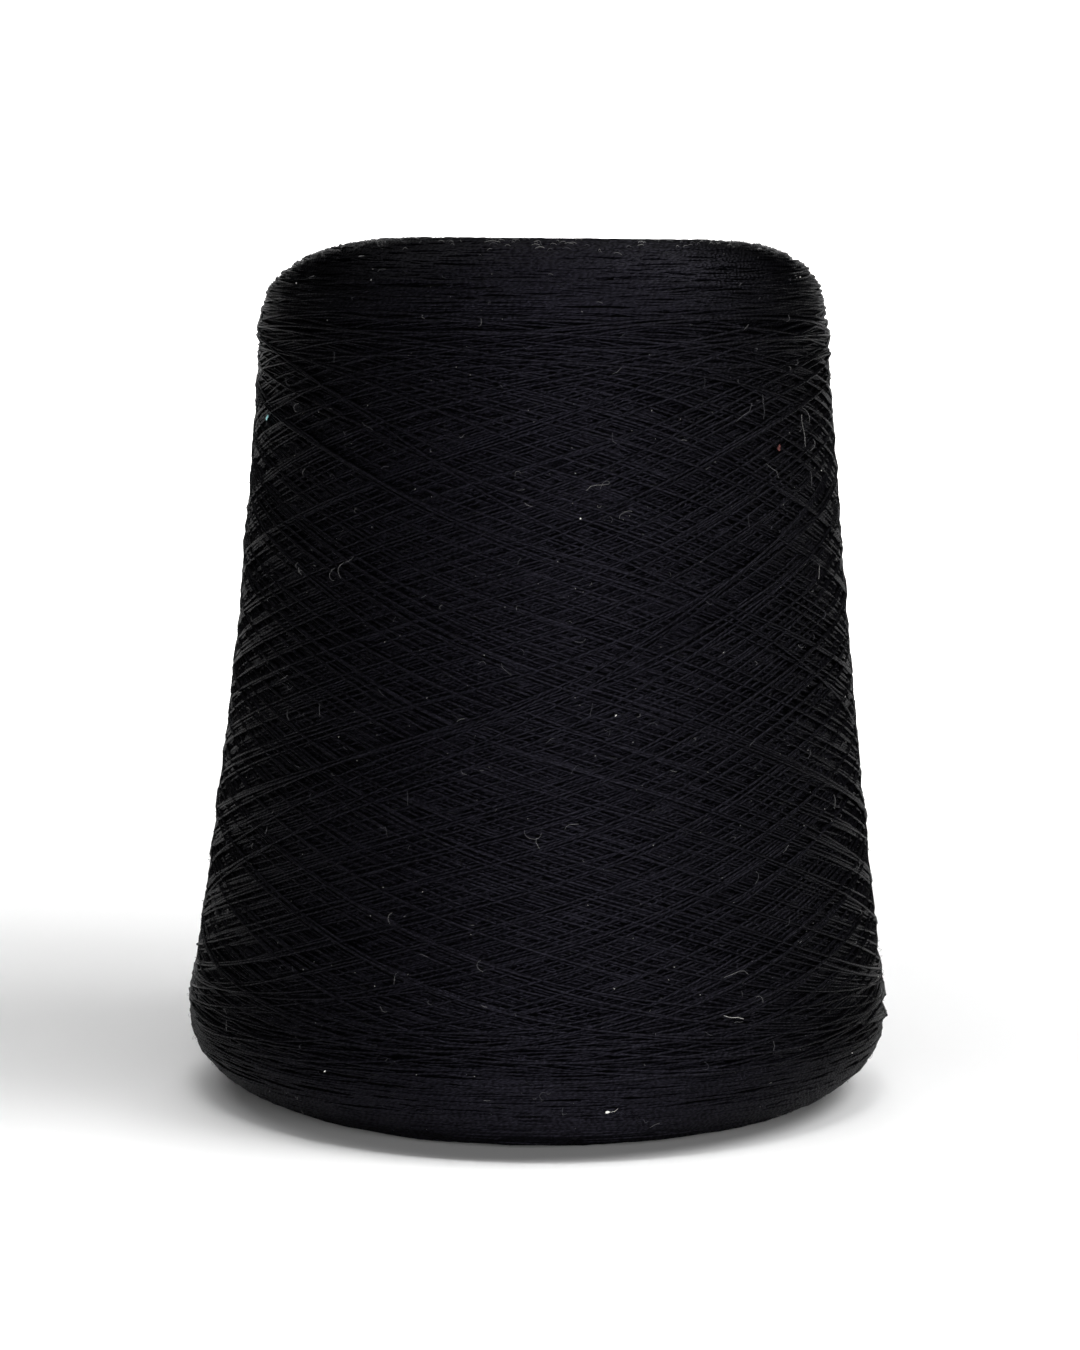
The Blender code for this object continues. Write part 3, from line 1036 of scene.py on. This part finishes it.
class YARNCONE_OT_stage(bpy.types.Operator):
    """Add the floor, the lights and the camera"""

    bl_idname = "yarncone.stage"
    bl_label = "Set the stage"

    def execute(self, context):
        stage = context.scene.yarncone_stage
        make_floor(stage)
        make_lights(context.scene, stage)
        make_sky(context.scene, stage)
        make_camera(context.scene, stage)
        return {"FINISHED"}


def make_floor(stage):
    """A pale floor that curves up into a backdrop behind the object; in metres."""
    near, bend_start, bend, top, half = -1.8, 1.4, 0.5, 3.0, 1.8
    curve_steps = 12
    profile = [(near, 0.0), (bend_start, 0.0)]
    for i in range(1, curve_steps + 1):
        turn = 0.5 * math.pi * i / curve_steps
        profile.append((bend_start + bend * math.sin(turn), bend * (1.0 - math.cos(turn))))
    profile.append((bend_start + bend, top))
    places = [(x, y, z) for y, z in profile for x in (-half, half)]
    faces = [(2 * i, 2 * i + 1, 2 * i + 3, 2 * i + 2) for i in range(len(profile) - 1)]
    mesh = solid_mesh("floor", places, faces, paper(stage.floor), smooth=True)
    floor = link_object("floor", mesh)


def paper(tone):
    """Matt white paper that fades into the white sky at the sides and at the
    near end, where the boxes' light gives out."""
    material, tree, shader = new_material("matt_white_paper", 0.9)
    whole, gone = 0.35, 1.0     # metres from the middle
    place = add_node(tree, "ShaderNodeTexCoord")
    parts = add_node(tree, "ShaderNodeSeparateXYZ", {0: place.outputs["Object"]})
    near = add_node(tree, "ShaderNodeMath", {0: parts.outputs["Y"]}, {1: 0.0}, operation="MINIMUM")
    away = add_node(tree, "ShaderNodeCombineXYZ", {"X": parts.outputs["X"], "Y": near.outputs[0]})
    far = add_node(tree, "ShaderNodeVectorMath", {0: away.outputs[0]}, operation="LENGTH")
    fade = add_node(tree, "ShaderNodeMapRange", {"Value": far.outputs["Value"]},
                    {"From Min": whole, "From Max": gone, "To Min": 1.0, "To Max": 0.0},
                    interpolation_type="SMOOTHSTEP")
    tree.links.new(fade.outputs[0], shader.inputs["Alpha"])
    shader.inputs["Base Color"].default_value = (*tone, 1.0)
    return material


def make_lights(scene, stage):
    """A high soft box at the right, a low wide one beside the camera, a large
    one overhead, one for the backdrop, and a narrow strip for the floor in
    front.  Each has its distance, azimuth and height angle from the foot of
    the cone's axis, its size, power and spread (a plain box has 180 degrees),
    and the point that it faces."""
    middle = Vector((0.0, 0.0, 0.5 * TOP_CORNER[2]))
    backdrop, fore_floor = Vector((0.0, 1.9, 0.7)), Vector((0.0, -0.36, 0.0))
    boxes = {
        "side": (1.2, -18.0, 52.0, (0.6, 0.6), stage.side, 180.0, middle),
        "front": (1.0, -80.0, 13.0, (1.2, 0.36), stage.front, 180.0, middle),
        "top": (2.0, 90.0, 88.0, (3.6, 2.0), stage.top, 180.0, middle),
        "back": (1.3, 90.0, 65.0, (0.8, 0.8), stage.back, 180.0, backdrop),
        "fore": (1.25, -90.0, 73.3, (3.2, 0.1), stage.fore, 36.0, fore_floor),
    }
    for name, (distance, azimuth, height, size, power, spread, aim) in boxes.items():
        azimuth, height = math.radians(azimuth), math.radians(height)
        level = math.cos(height)
        direction = (level * math.cos(azimuth), level * math.sin(azimuth), math.sin(height))
        place = distance * Vector(direction)
        light = bpy.data.lights.new(name, "AREA")
        light.shape, light.energy = "RECTANGLE", power
        light.size, light.size_y = size
        light.spread = math.radians(spread)
        lamp = bpy.data.objects.new(name, light)
        lamp.location = place
        lamp.rotation_euler = (aim - place).to_track_quat("-Z", "Y").to_euler()
        lamp.visible_camera = False
        scene.collection.objects.link(lamp)


def make_sky(scene, stage):
    """White where the camera sees it; the boxes alone light the yarn."""
    world = bpy.data.worlds.new("studio")
    world.use_nodes = True
    tree = world.node_tree
    seen = add_node(tree, "ShaderNodeLightPath")
    strength = add_node(tree, "ShaderNodeMath", {0: seen.outputs["Is Camera Ray"]}, {1: stage.sky},
                        operation="MULTIPLY")
    sky = tree.nodes["Background"]
    sky.inputs["Color"].default_value = (1.0, 1.0, 1.0, 1.0)
    tree.links.new(strength.outputs[0], sky.inputs["Strength"])
    scene.world = world
    scene.view_settings.view_transform = "Standard"


def make_camera(scene, stage):
    """The photo's viewpoint, with no shift and no depth of field."""
    picture_height = 1350.0     # pixels, the long side
    data = bpy.data.cameras.new("camera")
    data.sensor_width = 36.0
    data.lens = stage.lens_px * data.sensor_width / picture_height
    camera = bpy.data.objects.new("camera", data)
    camera.location = (0.0, -stage.distance, stage.camera_height)
    look = Matrix.Rotation(0.5 * math.pi - stage.pitch, 3, "X")
    roll = Matrix.Rotation(stage.roll, 3, "Z")
    camera.rotation_euler = (look @ roll).to_euler()
    scene.collection.objects.link(camera)
    scene.camera = camera


class YARNCONE_PT_panel(bpy.types.Panel):
    """Lists the sizes and the steps"""

    bl_label = "Cone of yarn"
    bl_idname = "YARNCONE_PT_panel"
    bl_space_type = "VIEW_3D"
    bl_region_type = "UI"
    bl_category = "Yarn Cone"

    def draw(self, context):
        layout = self.layout
        for name in GROUPS:
            group = getattr(context.scene, name)
            box = layout.box()
            for key in group.bl_rna.properties.keys():
                if key not in ("rna_type", "name"):
                    box.prop(group, key)
        for operator in OPERATORS:
            layout.operator(operator.bl_idname)


GROUPS = {
    "yarncone_form": YarnConeForm,
    "yarncone_yarn": YarnConeYarn,
    "yarncone_lint": YarnConeLint,
    "yarncone_stage": YarnConeStage,
}
OPERATORS = (YARNCONE_OT_wind, YARNCONE_OT_lint, YARNCONE_OT_stage)


def register():
    for cls in (*GROUPS.values(), *OPERATORS, YARNCONE_PT_panel):
        bpy.utils.register_class(cls)
    for name, group in GROUPS.items():
        setattr(bpy.types.Scene, name, PointerProperty(type=group))


def unregister():
    for name in GROUPS:
        delattr(bpy.types.Scene, name)
    for cls in reversed((*GROUPS.values(), *OPERATORS, YARNCONE_PT_panel)):
        bpy.utils.unregister_class(cls)


def main():
    register()
    bpy.ops.yarncone.wind()
    bpy.ops.yarncone.lint()
    bpy.ops.yarncone.stage()


if __name__ == "__main__":
    main()
